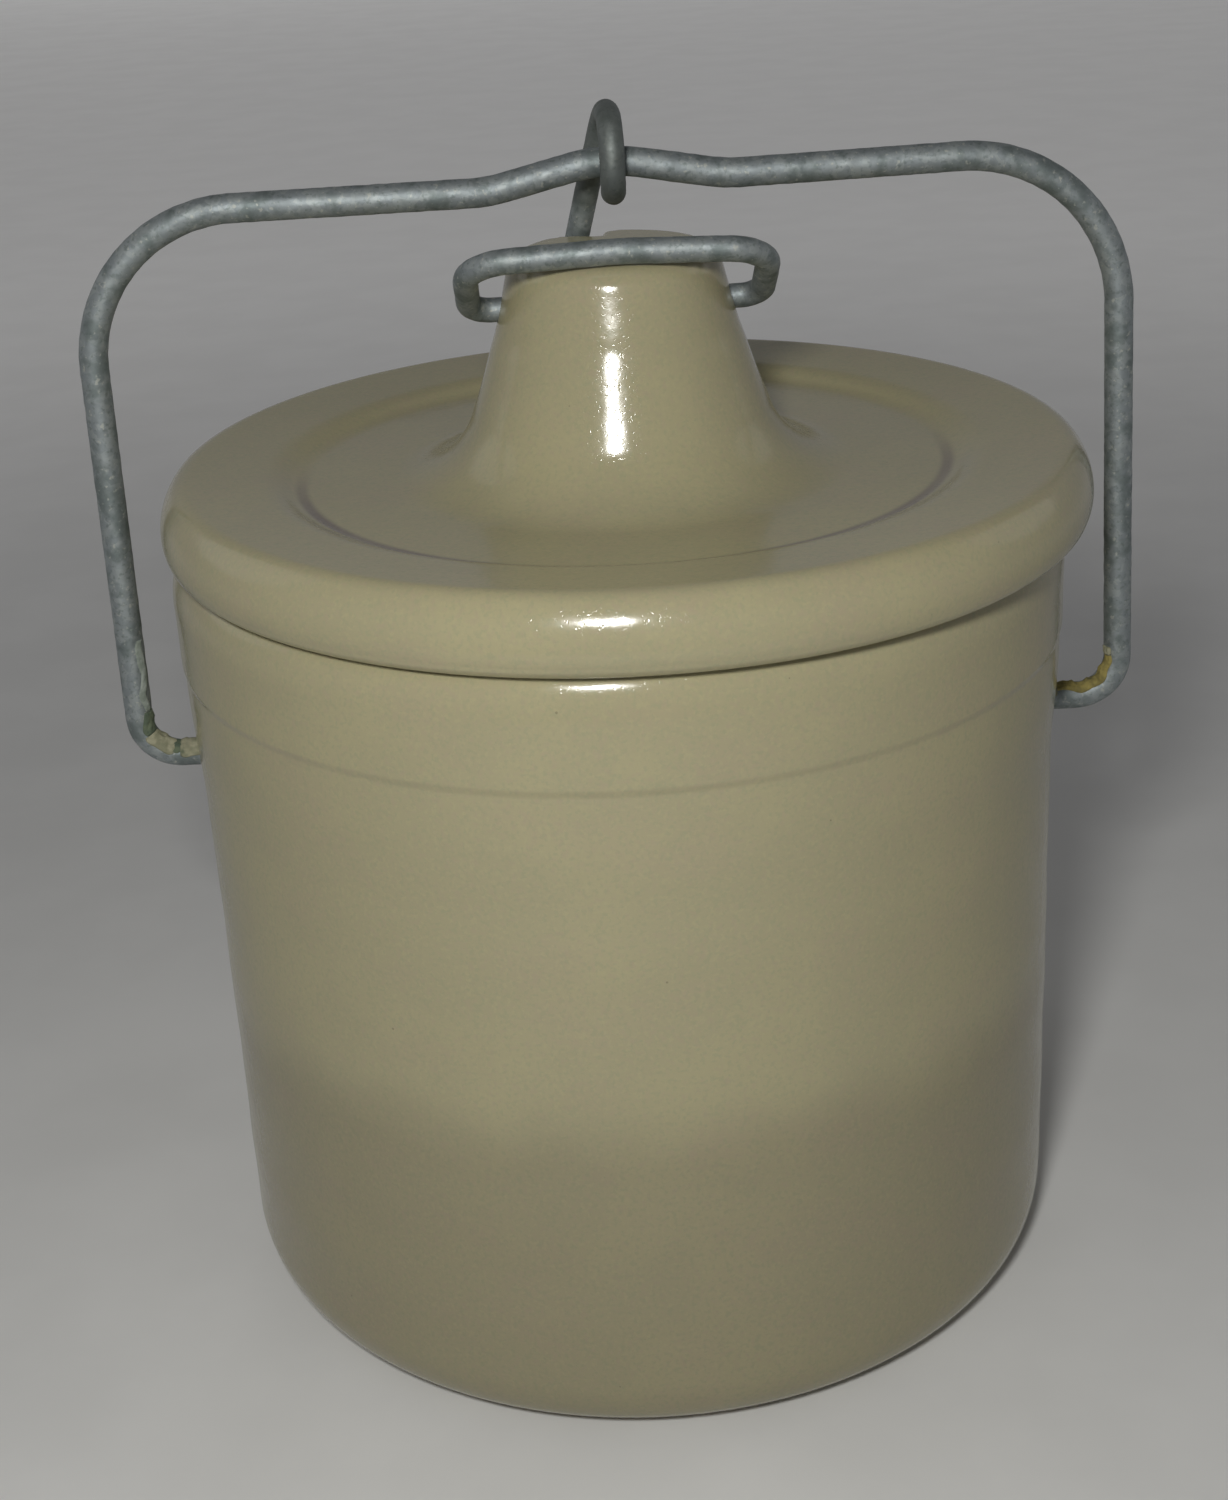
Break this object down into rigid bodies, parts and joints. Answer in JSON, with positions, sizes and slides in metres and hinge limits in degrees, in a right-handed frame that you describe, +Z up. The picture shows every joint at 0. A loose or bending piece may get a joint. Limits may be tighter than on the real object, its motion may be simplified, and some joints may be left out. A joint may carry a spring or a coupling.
{
  "type": "butter crock",
  "caption": "Small glazed stoneware butter crock with a dished, knobbed lid held down by a wire latch that levers against a swinging wire bail.",
  "frame": {"origin": "centre of the foot, at the height of the surface that the crock stands on", "axes": "+Z up; the bail's two ends and the latch's pin lie along X; the latch bar is at the front, -Y"},
  "size_m": [0.1252, 0.11, 0.1445],
  "materials": {
    "glazed_stoneware": "glossy, finely speckled olive-taupe glaze",
    "seal_rubber": "matt red-brown rubber",
    "galvanised_wire": "dull mottled zinc"
  },
  "bodies": {
    "crock": {"crock": "glazed_stoneware"},
    "bail": {"bail": "galvanised_wire"},
    "latch": {"latch": "galvanised_wire"},
    "lid": {"lid": "glazed_stoneware", "sealing_ring": "seal_rubber"}
  },
  "joints": [
    {"name": "bail_hinge", "type": "hinge", "parent": "crock", "child": "bail", "pos_m": [0, 0, 0.0689], "axis": [-1, 0, 0], "range_deg": [0, 9.5]},
    {"name": "latch_hinge", "type": "hinge", "parent": "bail", "child": "latch", "pos_m": [0, 0, 0.1378], "axis": [-1, 0, 0], "range_deg": [0, 36.1]},
    {"name": "lid_pin", "type": "hinge", "parent": "latch", "child": "lid", "pos_m": [0, 0.0005, 0.1217], "axis": [-1, 0, 0], "range_deg": [-45.6, 0]}
  ],
  "couplings": [
    {"joint": "latch_hinge", "follows": "bail_hinge", "ratio": 3.8},
    {"joint": "lid_pin", "follows": "bail_hinge", "ratio": -4.8}
  ]
}
